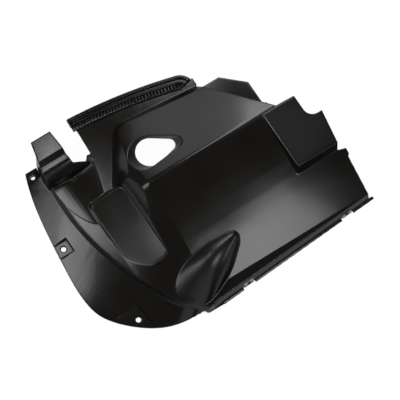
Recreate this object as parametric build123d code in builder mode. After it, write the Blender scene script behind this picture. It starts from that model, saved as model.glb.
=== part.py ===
"""Wheel arch liner: one moulded shell with a rubber edge seal and two spring steel edge clips.

Millimetres, +Z up, dome side up. X runs along the bottom lip, Y up the panel, and the origin is where the
middle flange hole meets the plane that the flange edge lies on.
"""
import os
from math import cos, hypot, radians, sin, tan

from build123d import *

# Moulded wall and its levels above the plane of the flange edge
wall = 2.5
bead_foot_height = 13.0
base_height = 22.0
crest_height = 78.0
lip_height = 14.0
tool_depth = 20.0

# Flange: outer edge, and the bead line where the flange meets the body
flange_edge = [
    (21.5, 152), (3.2, 97), (-7.7, 38.5), (-15.9, -28), (-19, -95), (-13.5, -123),
    (8, -156), (39, -184), (70, -201.5), (99, -208.5), (119, -210.2), (130, -212.2), (136, -215.9),
]
flange_end_y = 142.0
bead_foot_line = [(37, 152), (35, 99), (34, 32), (57, -88), (94, -172), (137, -216)]
bead_run = 5.0
flange_back_x = 150.0

# Flange holes: centre, and the flat spot face round each, as its reach to the left, right, down and up
hole_radius = 4.2
hole_places = {"top": (24.2, 129.0), "middle": (0.0, 0.0), "bottom": (36.0, -165.3)}
slot_half_length = 1.2
slot_radius = 2.3
spot_reaches = {"top": (24, 16, 6, 30), "middle": (12.5, 12.5, 12.5, 12.5), "bottom": (30, 13, 40, 20)}

# Roof of the body: crest line, panel towards the lip, band towards the seal, hip towards the bead
crest_y = -2.0
panel_end_y = -208.0
panel_rise = 5.0
crest_radius = 18.0
band_foot_y = 134.0
hip_x = 160.0
hip_foot_x = 68.0
hip_foot_fall = 1.0
# Steep facets that end the roof at its upper left corner and along the seal: foot line, slope of each, and
# the rounding of the corner between them
hip_corner = (175.8, 127.0)
facet_line = [(128.0, 53.0), hip_corner, (320.0, 113.5)]
facet_slopes = [53.0, 50.0]
hip_corner_radius = 36.0

# Body outline beyond the bead line, in order from the lip round to the seal strip
lip_line = [(137.0, -217.0), (462.0, -195.5)]
lip_tilt = 8.0
lip_width = 3.0
lip_taper = 32.0
lip_overrun = 3.0
body_end_x = 459.0
rim_line = [(404.0, -2.0), (326.0, 113.0)]
strip_end_x = 329.0
reach = 30.0

# Valley scooped along the bead, falling towards the top edge
valley_x = 73.0
valley_radius = 85.0
valley_tip_y = -3.0
valley_end_y = 108.0
valley_slope = 7.4

# Pocket sunk into the hip
pocket_centre = (101.5, -35.3, 24.0)
pocket_slope_x = 0.16
pocket_slope_y = -0.098
pocket_width = 62.0
pocket_length = 144.0
pocket_corner = 9.0
pocket_draft = 16.0
pocket_height = 70.0

# Drop hole in the band, with a collar that narrows downwards: x, y and radius of the two circles that its
# outline goes round, at the collar's lower edge and at the height of the rim
drop_bottom = 34.0
drop_rim = 60.0
drop_large = [(200, 54, 23.5), (186, 55, 32)]
drop_small = [(232, 48, 10), (238, 40, 11)]

# Raised pad at the open end
pad_corner = (376.0, -110.0)
pad_top_y = -5.0
pad_height = 80.0
pad_depth = 60.0
pad_draft = 1.5
pad_edge_radius = 3.0

# Bulge on the lower panel, nose towards the open end: distance behind the nose, half width and crown height
# of each section across it
bulge_nose = (240.0, -139.0)
bulge_heading = 16.0
bulge_root_height = 6.0
bulge_sections = [
    (0, 9, 42.5), (4, 15, 47), (14, 20.5, 51), (30, 27, 55), (56, 35, 58), (86, 41, 51), (116, 46, 35),
    (140, 50, 24), (165, 52, 18),
]

# Open end, from above the pad down to the lip: distance beyond the body's end and Y
open_end = [(2, -50), (-7.4, -111), (6, -114.6), (5.7, -124), (2.2, -127.7), (-1.8, -194.5)]

# Cut-outs of the top edge and of the open end
notch_outline = [(38.5, 97), (104, 97), (114, 109), (121, 108), (123, 151), (119, 177)]
end_notch_corner = (437.0, -49.0)
end_notch_radius = 16.0

# Standing tab: cove that rises from the valley, steps above it, as Y and height, and the plan of both sides
tab_cove = [(93, 6), (97, 27), (107, 40), (123.5, 44)]
tab_steps = [(130.5, 54), (165, 56)]
tab_left = [(33.5, 80), (33.5, 113), (37, 133), (43.8, 165)]
tab_right = [(80.5, 165), (84, 124), (86, 106), (112, 97), (112, 80)]
gusset_end_y = 142.0

# Back tab: flat foot beyond the rim wall
back_tab = [(334, 113), (369, 113), (405, 80), (405, 35), (411, 35), (411, -2)]

# Edge seal: rubber profile pushed on to the edge of the top strip
seal_centre = (62.0, -732.0)
seal_radius = 911.0
seal_start = 86.4
seal_end = 74.4
seal_corner_radius = 26.0
seal_corner_turn = 58.0
seal_width = 24.0
seal_web = 3.0
seal_leg = 3.0
seal_grip = 14.0
seal_ridge = 3.0
seal_lip_ridge = 2.4
seal_ridge_spacing = 8.4
seal_clearance = 0.1
rib_count = 34
rib_margin = 1.0
rib_length = 8.0
rib_width = 3.0
rib_height = 1.4

# Edge clips: distance of each along the lip, and the spring steel strip that they are bent from
clip_places = {"edge_clip_left": 80.0, "edge_clip_right": 276.0}
clip_width = 18.0
clip_gap = 2.0
clip_seat = 3.0
clip_thickness = 0.9
clip_height = 12.5
clip_inner_height = 11.0
clip_bolt_height = 8.5
clip_hole_radius = 3.6
clip_thread_radius = 2.5
clip_barrel_radius = 4.0
clip_barrel_length = 5.0
clip_clearance = 0.05


def outline_plane(height):
    return Plane.XY.offset(height)


def left_outline(line, right_x, top_y, low_y):
    """Face bounded by a smooth line on the left and by straight edges on the other sides."""
    with BuildSketch() as outline:
        with BuildLine():
            edge = Spline(*line)
            Polyline(edge @ 1, (right_x, low_y), (right_x, top_y), edge @ 0)
        make_face()
    return outline.sketch


def shifted(line, run):
    return [(x + run, y) for x, y in line]


def flange_form(inset):
    """Sloping flange and the bead step above it, as the solid under their outer face."""
    bead_rise = base_height - bead_foot_height
    bead_slant = hypot(bead_run, bead_rise)
    foot_line = shifted(bead_foot_line, inset * (bead_slant - bead_run) / bead_rise)
    crown_line = shifted(foot_line, bead_run)
    edge = left_outline(flange_edge, flange_back_x, flange_edge[0][1], flange_edge[-1][1])
    foot = left_outline(foot_line, flange_back_x, flange_edge[0][1], foot_line[-1][1])
    crown = left_outline(crown_line, flange_back_x, flange_edge[0][1], crown_line[-1][1])
    with BuildPart() as form:
        loft([outline_plane(wall - inset) * edge, outline_plane(bead_foot_height - inset) * foot], ruled=True)
        loft(
            [outline_plane(bead_foot_height - inset) * foot, outline_plane(base_height - inset) * crown],
            ruled=True,
        )
        extrude(outline_plane(-inset) * edge, amount=wall)
        if inset:
            lower_end = Plane((0, flange_edge[-1][1] + inset, 0), z_dir=(0, 1, 0))
            split(bisect_by=lower_end, keep=Keep.TOP)
    return form.part


def body_outline(inset):
    """Plan of the body inside the bead; the lip and the open edges run past their trimming cuts."""
    rim_low, rim_high = (Vector(*point) for point in rim_line)
    rim_out = (rim_high - rim_low).rotate(Axis.Z, -90).normalized()
    far_y = seal_centre[1] + seal_radius + reach
    crown_line = shifted(bead_foot_line, bead_run + inset)
    with BuildSketch() as outline:
        with BuildLine():
            bead = Spline(*crown_line)
            Polyline(
                bead @ 1,
                (crown_line[-1][0], lip_line[0][1] - reach),
                (body_end_x + reach, lip_line[0][1] - reach),
                (body_end_x + reach, pad_top_y - inset),
                rim_low - rim_out * inset,
                rim_high - rim_out * inset,
                (strip_end_x - inset, rim_line[1][1] + wall),
                (strip_end_x - inset, far_y),
                (crown_line[0][0], far_y),
                bead @ 0,
            )
        make_face()
    return outline.sketch


def roof_section(x, crest, lip_level, drop, rounding):
    """Section of the roof at one X: panel arc, crest and band, closed well below the floor."""
    band_fall = (crest_height - base_height) / (band_foot_y - crest_y)
    band_end_y = crest_y + (crest_height + tool_depth) / band_fall
    with BuildSketch(Plane.YZ.offset(x)) as section:
        with BuildLine():
            low = (panel_end_y - reach, lip_level - drop)
            top = (crest_y, crest - drop)
            rise = panel_rise * (crest - lip_level) / crest_height
            middle = ((low[0] + top[0]) / 2, (low[1] + top[1]) / 2 + rise)
            ThreePointArc(low, middle, top)
            Polyline(top, (band_end_y, -tool_depth - drop), (low[0], -tool_depth - drop), low)
        make_face()
        fillet(section.vertices().sort_by(Axis.Y)[-1], rounding)
    return section.sketch


def roof_form(inset):
    """Panel, band and hip as the solid under their outer faces."""
    panel_fall = (crest_height - lip_height) / (crest_y - panel_end_y)
    low_level = lip_height - panel_fall * reach
    drop = inset * hypot(1, panel_fall)
    ridge = roof_section(hip_x, crest_height, low_level, drop, crest_radius - inset)
    foot = roof_section(hip_foot_x, base_height, base_height - hip_foot_fall, drop, crest_radius - inset)
    with BuildPart() as form:
        loft([foot, ridge], ruled=True)
        extrude(ridge, amount=body_end_x + reach - hip_x)
        for foot_a, foot_b, slope in zip(facet_line, facet_line[1:], facet_slopes):
            along = Vector(foot_b[0] - foot_a[0], foot_b[1] - foot_a[1]).normalized()
            normal = along.rotate(Axis.Z, 90) * sin(radians(slope)) + Vector(0, 0, cos(radians(slope)))
            facet = Plane(Vector(*foot_a, base_height) - normal * inset, z_dir=normal)
            split(bisect_by=facet, keep=Keep.BOTTOM)
        corner_edge = form.edges().sort_by_distance((*hip_corner, base_height - inset))[0]
        fillet(corner_edge, hip_corner_radius - inset)
    return form.part


def lip_plane(inset):
    """Plane of the sloping wall under the panel's lower edge, moved inwards by the inset."""
    (x0, y0), (x1, y1) = lip_line
    along = Vector(x1 - x0, y1 - y0).normalized()
    out = Vector(along.Y, -along.X)
    normal = out * cos(radians(lip_tilt)) + Vector(0, 0, sin(radians(lip_tilt)))
    return Plane(Vector(x0, y0) - normal * inset, x_dir=along, z_dir=normal)


def pocket_tool(inset):
    normal = Vector(-pocket_slope_x, -pocket_slope_y, 1).normalized()
    floor = Plane(Vector(*pocket_centre) - normal * inset, x_dir=(1, 0, pocket_slope_x), z_dir=normal)
    grow = pocket_height * tan(radians(pocket_draft))
    with BuildPart() as tool:
        with BuildSketch(floor):
            RectangleRounded(pocket_width + 2 * inset, pocket_length + 2 * inset, pocket_corner + inset)
        with BuildSketch(floor.offset(pocket_height)):
            wide = inset + grow
            RectangleRounded(pocket_width + 2 * wide, pocket_length + 2 * wide, pocket_corner + wide)
        loft()
    return tool.part


def valley_tool(inset):
    axis = Vector(0, cos(radians(valley_slope)), -sin(radians(valley_slope)))
    end_floor = base_height - (valley_end_y - valley_tip_y) * tan(radians(valley_slope))
    centre = Vector(valley_x, valley_end_y, end_floor + valley_radius / cos(radians(valley_slope)))
    with BuildPart() as tool:
        with BuildSketch(Plane(centre, x_dir=(1, 0, 0), z_dir=axis)):
            Circle(valley_radius + inset)
        extrude(amount=-2 * valley_end_y)
    return tool.part


def drop_section(height, inset):
    """Teardrop section of the drop hole at one height: the hull of a large and a small circle."""
    rise = (height - drop_bottom) / (drop_rim - drop_bottom)
    with BuildSketch(Plane.XY.offset(height)) as section:
        for (low_x, low_y, low_r), (rim_x, rim_y, rim_r) in (drop_large, drop_small):
            with Locations((low_x + rise * (rim_x - low_x), low_y + rise * (rim_y - low_y))):
                Circle(low_r + rise * (rim_r - low_r) + inset)
        make_hull()
    return section.sketch


def drop_tool(inset):
    low = drop_section(drop_bottom, inset)
    with BuildPart() as tool:
        loft([low, drop_section(crest_height + wall, inset)], ruled=True)
        if not inset:
            extrude(low, amount=-wall)
    return tool.part


def pad_form(inset):
    top = Plane.XY.offset(pad_height - inset)
    grow = pad_depth * tan(radians(pad_draft))
    left, low = pad_corner
    right = body_end_x + reach
    with BuildPart() as form:
        for plane, spread in ((top, -inset), (top.offset(-pad_depth), grow - inset)):
            with BuildSketch(plane):
                with BuildLine():
                    Polyline(
                        (left - spread, low - spread),
                        (right, low - spread),
                        (right, pad_top_y - max(0, -spread)),
                        (left - spread, pad_top_y - max(0, -spread)),
                        close=True,
                    )
                make_face()
        loft(ruled=True)
        if not inset:
            crown = form.faces().sort_by(Axis.Z)[-1].edges()
            upright = form.edges().sort_by_distance((left, low, pad_height - pad_depth / 2))[0]
            fillet([crown.sort_by(Axis.X)[0], crown.sort_by(Axis.Y)[0], upright], pad_edge_radius)
    return form.part


def bulge_form(inset):
    """Smooth loft from the blunt nose through the sections behind it."""
    ahead = Vector(1, 0).rotate(Axis.Z, bulge_heading)
    nose = Vector(*bulge_nose, bulge_root_height)
    sections = []
    for distance, half_width, crown in bulge_sections:
        middle = nose - ahead * (distance + inset)
        across = Plane(middle, x_dir=ahead.rotate(Axis.Z, -90), z_dir=-ahead)
        with BuildSketch(across) as section:
            Ellipse(half_width - inset, crown - bulge_root_height - inset)
        sections.append(section.sketch)
    with BuildPart() as form:
        loft(sections)
    return form.part


def spot_tool(inset):
    with BuildPart() as tool:
        with BuildSketch(Plane.XY.offset(wall - inset)):
            for hole, (x, y) in hole_places.items():
                left, right, down, up = (reached + inset for reached in spot_reaches[hole])
                with Locations((x - left, y - down)):
                    Rectangle(left + right, down + up, align=Align.MIN)
        extrude(amount=bead_foot_height)
    return tool.part


def liner_form(inset):
    """Everything under the liner's outer face; an inset gives the same form one wall further in."""
    with BuildPart() as body:
        extrude(outline_plane(-inset) * body_outline(inset), amount=crest_height + reach)
        with BuildPart(mode=Mode.PRIVATE) as roof:
            add(roof_form(inset))
            extrude(outline_plane(-tool_depth) * body_outline(0), amount=tool_depth + base_height - inset)
            add(pad_form(inset))
            add(bulge_form(inset))
        add(roof.part, mode=Mode.INTERSECT)
        split(bisect_by=lip_plane(inset), keep=Keep.BOTTOM)
    with BuildPart() as form:
        add(body.part)
        add(flange_form(inset))
        add(spot_tool(inset), mode=Mode.SUBTRACT)
        add(valley_tool(inset), mode=Mode.SUBTRACT)
        add(pocket_tool(inset), mode=Mode.SUBTRACT)
        add(drop_tool(inset), mode=Mode.SUBTRACT)
    return form.part


def seal_corner():
    """Centre that the seal turns about at its right end."""
    return Vector(*seal_centre) + Vector(seal_radius - seal_corner_radius, 0).rotate(Axis.Z, seal_end)


def top_edge_cut():
    """Everything beyond the top edge: the flange end, the notch beside the tab and the edge in the seal."""
    far_y = seal_centre[1] + seal_radius + 2 * reach
    left_x = -2 * reach
    corner = seal_corner()
    corner_reach = Vector(3 * seal_corner_radius, 0)
    with BuildPart() as cut:
        with BuildSketch(Plane.XY.offset(-tool_depth)):
            with Locations(seal_centre):
                Circle(seal_radius + 4 * reach)
                Circle(seal_radius - seal_web, mode=Mode.SUBTRACT)
            with BuildLine():
                Polyline(
                    (left_x, flange_end_y),
                    (notch_outline[0][0], flange_end_y),
                    *notch_outline,
                    (notch_outline[-1][0], far_y),
                    (left_x, far_y),
                    close=True,
                )
            make_face()
            with BuildLine():
                Polyline(
                    corner,
                    corner + corner_reach.rotate(Axis.Z, seal_end),
                    corner + corner_reach.rotate(Axis.Z, seal_end - seal_corner_turn),
                    close=True,
                )
            make_face()
            with Locations(corner):
                Circle(seal_corner_radius - seal_web, mode=Mode.SUBTRACT)
        extrude(amount=tool_depth + crest_height)
    return cut.part


def open_end_cut():
    """Everything beyond the open end, with the round-cornered notch above the pad."""
    edge = [(body_end_x + beyond, y) for beyond, y in open_end]
    far_x = body_end_x + 3 * reach
    low_y = lip_line[0][1] - 2 * reach
    high_y = end_notch_corner[1] + 3 * reach
    with BuildPart() as cut:
        with BuildSketch(Plane.XY.offset(-tool_depth)) as end:
            with BuildLine():
                Polyline(
                    (edge[0][0], high_y),
                    *edge,
                    (edge[-1][0], low_y),
                    (far_x, low_y),
                    (far_x, high_y),
                    close=True,
                )
            make_face()
            with Locations(end_notch_corner):
                Rectangle(3 * reach, 3 * reach, align=Align.MIN)
            corner = end.vertices().sort_by_distance(end_notch_corner)[0]
            fillet(corner, end_notch_radius)
        extrude(amount=tool_depth + crest_height + reach)
    return cut.part


def behind(line):
    """The same Y and height line, one wall further back and down."""
    return [(y + wall, z - wall) for y, z in line]


def tab_form():
    """Standing tab: a cove and steps of one wall, with a side wall down to the flange on its left."""
    far_x = tab_right[-1][0]
    with BuildPart() as tab:
        with BuildSketch(Plane.YZ):
            with BuildLine():
                face = Spline(*tab_cove, tangents=[(0, 1), (1, 0)])
                steps = Polyline(face @ 1, *tab_steps)
                back = Spline(*behind(tab_cove), tangents=[(0, 1), (1, 0)])
                under = Polyline(back @ 1, *behind(tab_steps))
                Line(face @ 0, back @ 0)
                Line(steps @ 1, under @ 1)
            make_face()
        extrude(amount=far_x)
        with BuildSketch():
            with BuildLine():
                Polyline(*tab_left, *tab_right, close=True)
            make_face()
        extrude(amount=2 * crest_height, mode=Mode.INTERSECT)
    with BuildPart() as side:
        with BuildSketch(Plane.YZ):
            with BuildLine():
                face = Spline(*tab_cove, tangents=[(0, 1), (1, 0)])
                Polyline(
                    face @ 1,
                    tab_steps[0],
                    (gusset_end_y, tab_steps[0][1]),
                    (gusset_end_y, tab_cove[0][1]),
                    face @ 0,
                )
            make_face()
        extrude(amount=far_x)
        with BuildSketch():
            with BuildLine():
                Polyline(*tab_left, *shifted(reversed(tab_left), wall), close=True)
            make_face()
        extrude(amount=2 * crest_height, mode=Mode.INTERSECT)
    with BuildPart() as whole:
        add(tab.part)
        add(side.part)
    return whole.part


def foot_form():
    """Flat foot beyond the rim wall, and the narrow lip along the bottom edge."""
    lip_start, lip_end = (Vector(*point) for point in lip_line)
    along = (lip_end - lip_start).normalized()
    out = Vector(along.Y, -along.X)
    end = lip_end + along * lip_overrun
    with BuildPart() as feet:
        with BuildSketch():
            with BuildLine():
                Polyline(rim_line[1], *back_tab, rim_line[0], close=True)
            make_face()
        extrude(amount=wall)
        with BuildSketch():
            with BuildLine():
                Polyline(
                    lip_start - out * wall,
                    lip_start,
                    lip_start + along * lip_taper + out * lip_width,
                    end + out * lip_width,
                    end - out * wall,
                    close=True,
                )
            make_face()
        extrude(amount=wall)
    return feet.part


def clip_cut(place):
    """Gap in the lip for one clip, and the bolt hole through the sloping wall above it."""
    face = lip_plane(0)
    with BuildPart() as cut:
        with BuildSketch(face.offset(lip_width + wall)):
            with Locations((place, 0)):
                Rectangle(clip_width + 2 * clip_gap, 2 * clip_seat)
            with Locations((place, clip_bolt_height)):
                Circle(clip_hole_radius)
        extrude(amount=-(lip_width + 4 * wall))
    return cut.part


with BuildPart() as liner_shell:
    add(liner_form(0))
    add(liner_form(wall), mode=Mode.SUBTRACT)
    add(top_edge_cut(), mode=Mode.SUBTRACT)
    add(open_end_cut(), mode=Mode.SUBTRACT)
    add(foot_form())
    add(tab_form())
    for place in clip_places.values():
        add(clip_cut(place), mode=Mode.SUBTRACT)
    with BuildSketch(Plane.XY.offset(-tool_depth)):
        with Locations(hole_places["middle"], hole_places["bottom"]):
            Circle(hole_radius)
        with Locations(hole_places["top"]):
            SlotCenterToCenter(2 * slot_half_length, 2 * slot_radius)
    extrude(amount=tool_depth + bead_foot_height, mode=Mode.SUBTRACT)


def seal_section(centre, angle, radius):
    """Section of the seal that stands on the radius at one angle about a centre: web, legs and ridges."""
    out = Vector(1, 0).rotate(Axis.Z, angle)
    top = base_height + seal_leg
    low = base_height - wall - seal_clearance
    web = radius - seal_web + seal_clearance
    with BuildSketch(Plane(centre, x_dir=out, z_dir=out.rotate(Axis.Z, -90))) as section:
        with BuildLine():
            Polyline(
                (radius - seal_width, base_height + seal_clearance),
                (web, base_height + seal_clearance),
                (web, low),
                (radius - seal_grip, low),
                (radius - seal_grip, low - seal_leg),
                (radius, low - seal_leg),
                (radius, top),
                (radius - seal_width, top),
                close=True,
            )
        make_face()
        with Locations((radius - seal_ridge - rib_margin, top)):
            Circle(seal_ridge)
        with Locations((radius - seal_ridge - rib_margin - seal_ridge_spacing, top)):
            Circle(seal_lip_ridge)
    return section.sketch


with BuildPart() as top_seal:
    centre = Vector(*seal_centre)
    add(seal_section(centre, seal_start, seal_radius))
    revolve(axis=Axis(centre, (0, 0, -1)), revolution_arc=seal_start - seal_end)
    add(seal_section(seal_corner(), seal_end, seal_corner_radius))
    revolve(axis=Axis(seal_corner(), (0, 0, -1)), revolution_arc=seal_corner_turn)
    rib_step = (seal_start - seal_end) / rib_count
    for rib in range(rib_count):
        out = Vector(1, 0).rotate(Axis.Z, seal_end + rib_step * (rib + 0.5))
        spot = centre + out * (seal_radius - seal_width + rib_margin + rib_length / 2)
        with BuildSketch(Plane(spot + Vector(0, 0, base_height + seal_leg), x_dir=out)):
            Rectangle(rib_length, rib_width)
        extrude(amount=rib_height)


def edge_clip(place):
    """U-clip pushed up on to the wall's lower edge, with a threaded barrel on its inner leaf."""
    face = lip_plane(0)
    across = Plane(face.from_local_coords((place - clip_width / 2, 0, 0)), x_dir=face.y_dir, z_dir=face.x_dir)
    inner = -wall - clip_clearance
    low = clip_seat - clip_clearance
    with BuildPart() as clip:
        with BuildSketch(across):
            with BuildLine():
                Polyline(
                    (clip_height, clip_clearance),
                    (low, clip_clearance),
                    (low, inner),
                    (clip_inner_height, inner),
                    (clip_inner_height, inner - clip_thickness),
                    (low - clip_thickness, inner - clip_thickness),
                    (low - clip_thickness, clip_clearance + clip_thickness),
                    (clip_height, clip_clearance + clip_thickness),
                    close=True,
                )
            make_face()
        extrude(amount=clip_width)
        with BuildSketch(face.offset(inner - clip_thickness)):
            with Locations((place, clip_bolt_height)):
                Circle(clip_barrel_radius)
        extrude(amount=-clip_barrel_length)
        with BuildSketch(face.offset(lip_width)):
            with Locations((place, clip_bolt_height)):
                Circle(clip_hole_radius)
        extrude(amount=-lip_width, mode=Mode.SUBTRACT)
        with BuildSketch(face):
            with Locations((place, clip_bolt_height)):
                Circle(clip_thread_radius)
        extrude(amount=-(2 * wall + clip_barrel_length + 2 * clip_thickness), mode=Mode.SUBTRACT)
    return clip.part


os.makedirs("parts", exist_ok=True)
liner_shell.part.label = "liner_shell"
export_step(liner_shell.part, "parts/liner_shell.step")
top_seal.part.label = "top_seal"
export_step(top_seal.part, "parts/top_seal.step")
for name, place in clip_places.items():
    clip = edge_clip(place)
    clip.label = name
    export_step(clip, f"parts/{name}.step")
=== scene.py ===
from math import atan2, cos, degrees, radians, sin

import bpy
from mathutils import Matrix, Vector


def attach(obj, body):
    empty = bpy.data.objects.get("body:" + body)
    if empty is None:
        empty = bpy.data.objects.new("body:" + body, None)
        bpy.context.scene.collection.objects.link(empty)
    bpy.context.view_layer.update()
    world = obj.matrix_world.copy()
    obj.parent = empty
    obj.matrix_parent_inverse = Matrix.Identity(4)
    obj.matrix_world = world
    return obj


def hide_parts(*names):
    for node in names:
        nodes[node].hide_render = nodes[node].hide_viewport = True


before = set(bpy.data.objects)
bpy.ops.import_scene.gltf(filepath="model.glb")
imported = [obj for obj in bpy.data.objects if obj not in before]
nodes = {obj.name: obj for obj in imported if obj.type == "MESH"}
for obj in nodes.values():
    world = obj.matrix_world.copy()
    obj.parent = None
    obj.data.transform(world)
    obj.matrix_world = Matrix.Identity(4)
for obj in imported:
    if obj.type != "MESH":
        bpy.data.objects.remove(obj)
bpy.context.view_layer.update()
scene = bpy.context.scene
scene.view_settings.view_transform = "Standard"
mergeDistance = 0.00001  # corners closer than this become one
print("frame loaded with", ", ".join(sorted(nodes)))


def pickOnly(piece):
    if bpy.context.mode != "OBJECT":
        bpy.ops.object.mode_set(mode="OBJECT")
    bpy.ops.object.select_all(action="DESELECT")  # the loaded nodes start out selected
    piece.select_set(True)
    bpy.context.view_layer.objects.active = piece


def mergedCopy(nodeName, pieceName):
    mesh = nodes[nodeName].data.copy()
    mesh.materials.clear()
    piece = bpy.data.objects.new(pieceName, mesh)
    scene.collection.objects.link(piece)
    pickOnly(piece)
    bpy.ops.mesh.customdata_custom_splitnormals_clear()
    bpy.ops.object.mode_set(mode="EDIT")
    bpy.ops.mesh.select_all(action="SELECT")
    bpy.ops.mesh.remove_doubles(threshold=mergeDistance)
    bpy.ops.object.mode_set(mode="OBJECT")
    return piece


def applyModifier(piece, kind, **settings):
    modifier = piece.modifiers.new(kind.lower(), kind)
    for setting, value in settings.items():
        setattr(modifier, setting, value)
    pickOnly(piece)
    bpy.ops.object.modifier_apply(modifier=modifier.name)


def standsFor(piece, nodeName, material):
    piece.data.materials.append(material)
    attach(piece, "root")
    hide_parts(nodeName)


def newMaterial(name):
    material = bpy.data.materials.new(name)
    material.use_nodes = True
    tree = material.node_tree
    shader = tree.nodes["Principled BSDF"]
    return material, tree, shader


def addNode(tree, kind, place, **settings):
    node = tree.nodes.new(kind)
    node.location = place
    for setting, value in settings.items():
        setattr(node, setting, value)
    return node


def setInputs(node, values):
    for socket, value in values.items():
        node.inputs[socket].default_value = value


def setRange(node, edge, limits):
    node.inputs[edge + " Min"].default_value = limits[0]
    node.inputs[edge + " Max"].default_value = limits[1]


# shared finish: fine moulded grain, slow cloudiness and a few scuffs
pattern = {
    "grainDetail": 3.0,
    "cloudDetail": 4.0,
    "cloudRange": (0.3, 0.7),  # noise values that span a look's roughness
    "scuffDetail": 6.0,
    "scuffRoughness": 0.7,
    "scuffTurn": 28.0,
    "scuffStretch": (0.12, 1.0, 1.0),
    "scuffRange": (0.62, 0.74),  # noise values between bare and scuffed
}


def makeMouldFinish():
    group = bpy.data.node_groups.new("mouldFinish", "ShaderNodeTree")
    sockets = group.interface
    for name in ("Grain Scale", "Cloud Scale", "Scuff Scale"):
        sockets.new_socket(name, in_out="INPUT", socket_type="NodeSocketFloat")
    for name in ("Grain", "Cloud", "Scuff"):
        sockets.new_socket(name, in_out="OUTPUT", socket_type="NodeSocketFloat")
    entry = addNode(group, "NodeGroupInput", (-800, 0))
    result = addNode(group, "NodeGroupOutput", (600, 0))
    place = addNode(group, "ShaderNodeTexCoord", (-800, -300))
    grain = addNode(group, "ShaderNodeTexNoise", (-400, 300))
    setInputs(grain, {"Detail": pattern["grainDetail"]})
    cloud = addNode(group, "ShaderNodeTexNoise", (-400, 0))
    setInputs(cloud, {"Detail": pattern["cloudDetail"]})
    stretch = addNode(group, "ShaderNodeMapping", (-600, -300))
    setInputs(stretch, {
        "Rotation": (0.0, 0.0, radians(pattern["scuffTurn"])),
        "Scale": pattern["scuffStretch"],
    })
    scuff = addNode(group, "ShaderNodeTexNoise", (-400, -300))
    setInputs(scuff, {"Detail": pattern["scuffDetail"], "Roughness": pattern["scuffRoughness"]})
    keep = addNode(group, "ShaderNodeMapRange", (0, -300), interpolation_type="SMOOTHSTEP")
    setRange(keep, "From", pattern["scuffRange"])
    wire = group.links.new
    wire(place.outputs["Object"], grain.inputs["Vector"])
    wire(place.outputs["Object"], cloud.inputs["Vector"])
    wire(place.outputs["Object"], stretch.inputs["Vector"])
    wire(stretch.outputs["Vector"], scuff.inputs["Vector"])
    wire(entry.outputs["Grain Scale"], grain.inputs["Scale"])
    wire(entry.outputs["Cloud Scale"], cloud.inputs["Scale"])
    wire(entry.outputs["Scuff Scale"], scuff.inputs["Scale"])
    wire(scuff.outputs["Fac"], keep.inputs["Value"])
    wire(grain.outputs["Fac"], result.inputs["Grain"])
    wire(cloud.outputs["Fac"], result.inputs["Cloud"])
    wire(keep.outputs["Result"], result.inputs["Scuff"])
    return group


mouldFinish = makeMouldFinish()


# duller skin around one place, fading out at the given reach
def matteAround(tree, glossOut, look):
    if "matte" not in look:
        return glossOut
    matte = look["matte"]
    place = addNode(tree, "ShaderNodeTexCoord", (-1300, -500))
    local = addNode(tree, "ShaderNodeMapping", (-1100, -500), vector_type="TEXTURE")
    setInputs(local, {
        "Location": matte["place"],
        "Rotation": (0.0, 0.0, radians(matte["turn"])),
        "Scale": matte["reach"],
    })
    away = addNode(tree, "ShaderNodeVectorMath", (-900, -500), operation="LENGTH")
    fade = addNode(tree, "ShaderNodeMapRange", (-600, -500), interpolation_type="SMOOTHSTEP")
    setRange(fade, "From", matte["fade"])
    setRange(fade, "To", (matte["gain"], 0.0))
    total = addNode(tree, "ShaderNodeMath", (-350, -100), operation="ADD")
    wire = tree.links.new
    wire(place.outputs["Object"], local.inputs["Vector"])
    wire(local.outputs["Vector"], away.inputs[0])
    wire(away.outputs["Value"], fade.inputs["Value"])
    wire(glossOut, total.inputs[0])
    wire(fade.outputs["Result"], total.inputs[1])
    return total.outputs["Value"]


def finishedMaterial(look):
    material, tree, shader = newMaterial(look["name"])
    finish = addNode(tree, "ShaderNodeGroup", (-900, 0), node_tree=mouldFinish)
    setInputs(finish, {
        "Grain Scale": look["grainScale"],
        "Cloud Scale": look["cloudScale"],
        "Scuff Scale": look["scuffScale"],
    })
    tone = addNode(tree, "ShaderNodeMix", (-600, 200), data_type="RGBA")
    setInputs(tone, {"A": (*look["dark"], 1.0), "B": (*look["light"], 1.0)})
    worn = addNode(tree, "ShaderNodeMix", (-350, 200), data_type="RGBA")
    setInputs(worn, {"B": (*look["scuffTone"], 1.0)})
    gloss = addNode(tree, "ShaderNodeMapRange", (-600, -100))
    setRange(gloss, "From", pattern["cloudRange"])
    setRange(gloss, "To", look["roughness"])
    bump = addNode(tree, "ShaderNodeBump", (-350, -300))
    setInputs(bump, {"Strength": look["bump"], "Distance": look["grainDepth"]})
    setInputs(shader, {"Metallic": look["metallic"]})
    wire = tree.links.new
    wire(finish.outputs["Cloud"], tone.inputs["Factor"])
    wire(tone.outputs["Result"], worn.inputs["A"])
    wire(finish.outputs["Scuff"], worn.inputs["Factor"])
    wire(worn.outputs["Result"], shader.inputs["Base Color"])
    wire(finish.outputs["Cloud"], gloss.inputs["Value"])
    wire(matteAround(tree, gloss.outputs["Result"], look), shader.inputs["Roughness"])
    wire(finish.outputs["Grain"], bump.inputs["Height"])
    wire(bump.outputs["Normal"], shader.inputs["Normal"])
    return material


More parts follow.
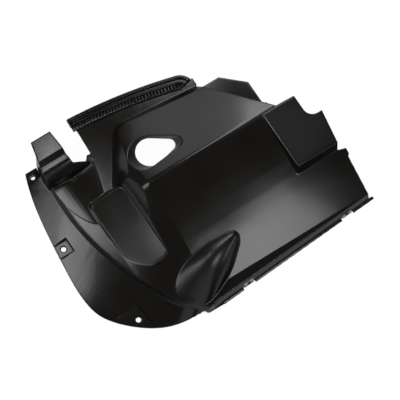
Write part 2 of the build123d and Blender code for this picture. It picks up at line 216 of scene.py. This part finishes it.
moulding = {
    "name": "mouldedPlastic",
    "dark": (0.0070, 0.0062, 0.0053),
    "light": (0.0125, 0.0112, 0.0096),
    "scuffTone": (0.0200, 0.0186, 0.0168),
    "roughness": (0.15, 0.20),
    "grainScale": 1800.0,
    "cloudScale": 16.0,
    "scuffScale": 70.0,
    "bump": 0.04,
    "grainDepth": 0.0002,
    "metallic": 0.0,
    "matte": {  # the skin around the bulge
        "place": (0.169, -0.155, 0.035),
        "turn": 21.4,
        "reach": (0.078, 0.036, 0.060),
        "fade": (0.65, 1.05),  # shares of the reach
        "gain": 0.16,
    },
    "voxel": 0.0009,
    "smoothing": 4,
    "smoothShare": 0.5,
    "keep": 0.15,  # share of the faces left after thinning
}


def remeshedCopy(nodeName, pieceName, look):
    piece = mergedCopy(nodeName, pieceName)
    applyModifier(piece, "REMESH", mode="VOXEL", voxel_size=look["voxel"])
    applyModifier(piece, "SMOOTH", factor=look["smoothShare"], iterations=look["smoothing"])
    applyModifier(piece, "DECIMATE", ratio=look["keep"])
    pickOnly(piece)
    bpy.ops.object.shade_smooth()
    return piece


linerMoulding = remeshedCopy("liner_shell", "linerMoulding", moulding)
standsFor(linerMoulding, "liner_shell", finishedMaterial(moulding))
print("moulding done:", len(linerMoulding.data.polygons), "faces")

rubber = {
    "name": "sealRubber",
    "dark": (0.0020, 0.0020, 0.0020),
    "light": (0.0040, 0.0039, 0.0038),
    "scuffTone": (0.0080, 0.0078, 0.0074),
    "roughness": (0.17, 0.22),
    "grainScale": 2400.0,
    "cloudScale": 30.0,
    "scuffScale": 90.0,
    "bump": 0.10,
    "grainDepth": 0.0002,
    "metallic": 0.0,
    "bevel": 0.0005,
    "bevelSteps": 2,
    "bevelAngle": 30.0,
    "arcCentre": (0.062, -0.732),  # the row of teeth runs round this point
    "arcStart": 74.4,
    "arcEnd": 86.4,
    "teeth": 34,
    "toothTop": 0.0264,
    "toothSlack": 0.00005,  # takes in some corners of the ridge beside the teeth too
    "toothHalf": 0.5,  # corners past this share of a step are the left ones
    "toothFall": 0.0012,
}


# lowers the left upper corners of each tooth, and ridge corners that lie within toothSlack
def slantTeeth(piece, look):
    toothStep = (look["arcEnd"] - look["arcStart"]) / look["teeth"]
    slanted = 0
    for corner in piece.data.vertices:
        if abs(corner.co.z - look["toothTop"]) > look["toothSlack"]:
            continue
        acrossX = corner.co.x - look["arcCentre"][0]
        alongY = corner.co.y - look["arcCentre"][1]
        turned = (degrees(atan2(alongY, acrossX)) - look["arcStart"]) / toothStep
        if turned % 1 > look["toothHalf"]:
            corner.co.z -= look["toothFall"]
            slanted += 1
    print("tooth corners lowered:", slanted)


sealProfile = mergedCopy("top_seal", "sealProfile")
slantTeeth(sealProfile, rubber)
applyModifier(sealProfile, "BEVEL", width=rubber["bevel"], segments=rubber["bevelSteps"],
              limit_method="ANGLE", angle_limit=radians(rubber["bevelAngle"]), use_clamp_overlap=False)
bpy.ops.object.shade_smooth_by_angle(angle=radians(rubber["bevelAngle"]))
standsFor(sealProfile, "top_seal", finishedMaterial(rubber))
print("seal done:", len(sealProfile.data.polygons), "faces")

zinc = {
    "name": "clipSteel",
    "dark": (0.34, 0.34, 0.33),
    "light": (0.60, 0.60, 0.58),
    "scuffTone": (0.24, 0.24, 0.23),
    "roughness": (0.14, 0.24),
    "grainScale": 900.0,
    "cloudScale": 120.0,
    "scuffScale": 300.0,
    "bump": 0.06,
    "grainDepth": 0.0001,
    "metallic": 1.0,
}
clipSteel = finishedMaterial(zinc)
for clipName in ("edge_clip_left", "edge_clip_right"):
    nodes[clipName].data.materials.clear()
    nodes[clipName].data.materials.append(clipSteel)
print("clips finished")

studio = {
    "azimuth": -33.0,
    "elevation": 70.0,
    "aim": (0.2225, -0.0584, 0.035),
    "lens": 600.0,
    "sensor": 36.0,
    "farthest": 50.0,  # the camera sees no further
    "frameWidth": 0.64,
    "boxDistance": 0.60,
    "floorSize": 8.0,
    "floorSteps": 2,
    "floorPlace": (0.22, -0.02, -0.0005),
    "floorTone": 0.60,
    "floorRoughness": 0.8,
    "floorWhite": 1.08,
    "floorShare": 0.90,  # how much of the white the camera sees
    "mirrorShare": 0.18,  # how much of it shows in reflections
    "worldTone": 0.05,
}


def directionFrom(azimuth, elevation):
    turn = radians(azimuth)
    rise = radians(elevation)
    return Vector((sin(turn) * cos(rise), -cos(turn) * cos(rise), sin(rise)))


def addCamera():
    aim = Vector(studio["aim"])
    back = directionFrom(studio["azimuth"], studio["elevation"])
    distance = studio["frameWidth"] * studio["lens"] / studio["sensor"]
    bpy.ops.object.camera_add(location=aim + back * distance)
    camera = bpy.context.object
    camera.name = "photoCamera"
    camera.rotation_euler = back.to_track_quat("Z", "Y").to_euler()
    camera.data.lens = studio["lens"]
    camera.data.sensor_width = studio["sensor"]
    camera.data.clip_end = studio["farthest"]
    scene.camera = camera


addCamera()

softboxes = {
    "frontBox": {"towards": (0.21, -0.53, 0.82), "size": (0.26, 0.16), "power": 0.69},
    "backBox": {"towards": (0.53, 0.65, 0.54), "size": (0.28, 0.20), "power": 0.70},
    "bandBox": {"towards": (0.36, 0.84, 0.40), "size": (0.34, 0.16), "power": 0.18},
    "topBox": {"towards": (-0.16, 0.40, 0.90), "size": (0.12, 0.12), "power": 0.24},
    "tabBox": {"towards": (-0.10, 0.49, 0.87), "size": (0.07, 0.08), "power": 0.06},
    "valleyBox": {"towards": (0.30, 0.63, 0.71), "size": (0.15, 0.10), "power": 0.17},
    "padBox": {"towards": (0.44, 0.25, 0.86), "size": (0.14, 0.14), "power": 0.022},
    "flangeBox": {"towards": (-0.51, 0.34, 0.79), "size": (0.14, 0.14), "power": 0.27},
    "leftBox": {"towards": (-0.74, 0.36, 0.57), "size": (0.24, 0.30), "power": 0.62},
    "rightBox": {"towards": (0.76, -0.58, 0.30), "size": (0.40, 0.16), "power": 0.28},
    "fillBox": {"towards": (-0.47, -0.73, 0.50), "size": (0.60, 0.36), "power": 0.36},
}


def addSoftbox(name, box):
    towards = Vector(box["towards"]).normalized()
    bpy.ops.object.light_add(type="AREA", location=Vector(studio["aim"]) + towards * studio["boxDistance"])
    lamp = bpy.context.object
    lamp.name = name
    lamp.rotation_euler = towards.to_track_quat("Z", "Y").to_euler()
    lamp.data.shape = "RECTANGLE"
    lamp.data.size, lamp.data.size_y = box["size"]
    lamp.data.energy = box["power"]


for name, box in softboxes.items():
    addSoftbox(name, box)
print("camera and softboxes placed")


# white to the camera and partly so in reflections, with a share left to take the shadow
def whiteToCamera(tree, shaderOut, place):
    right, up = place
    path = addNode(tree, "ShaderNodeLightPath", (right - 800, up + 300))
    mirrored = addNode(tree, "ShaderNodeMath", (right - 600, up + 300), operation="MAXIMUM")
    dimmed = addNode(tree, "ShaderNodeMath", (right - 400, up + 300), operation="MULTIPLY")
    setInputs(dimmed, {1: studio["mirrorShare"]})
    straight = addNode(tree, "ShaderNodeMath", (right - 400, up + 500), operation="MULTIPLY")
    setInputs(straight, {1: studio["floorShare"]})
    seen = addNode(tree, "ShaderNodeMath", (right - 200, up + 300), operation="MAXIMUM")
    white = addNode(tree, "ShaderNodeEmission", (right - 200, up - 200))
    setInputs(white, {"Strength": studio["floorWhite"]})
    mix = addNode(tree, "ShaderNodeMixShader", place)
    wire = tree.links.new
    wire(path.outputs["Is Glossy Ray"], mirrored.inputs[0])
    wire(path.outputs["Is Transmission Ray"], mirrored.inputs[1])
    wire(mirrored.outputs["Value"], dimmed.inputs[0])
    wire(path.outputs["Is Camera Ray"], straight.inputs[0])
    wire(straight.outputs["Value"], seen.inputs[0])
    wire(dimmed.outputs["Value"], seen.inputs[1])
    wire(seen.outputs["Value"], mix.inputs["Fac"])
    wire(shaderOut, mix.inputs[1])
    wire(white.outputs["Emission"], mix.inputs[2])
    return mix


def evenTone(tone):
    return (tone, tone, tone, 1.0)


bpy.ops.mesh.primitive_grid_add(x_subdivisions=studio["floorSteps"], y_subdivisions=studio["floorSteps"],
                                size=studio["floorSize"], location=studio["floorPlace"])
floor = bpy.context.object
floor.name = "floor"
floorPaper, floorTree, floorShader = newMaterial("floorPaper")
setInputs(floorShader, {
    "Base Color": evenTone(studio["floorTone"]),
    "Roughness": studio["floorRoughness"],
})
floorMix = whiteToCamera(floorTree, floorShader.outputs["BSDF"], (300, 0))
floorTree.links.new(floorMix.outputs["Shader"], floorTree.nodes["Material Output"].inputs["Surface"])
floor.data.materials.append(floorPaper)

world = bpy.data.worlds.new("studioWorld")
world.use_nodes = True
setInputs(world.node_tree.nodes["Background"], {"Color": evenTone(studio["worldTone"])})
scene.world = world
print("floor and world set")
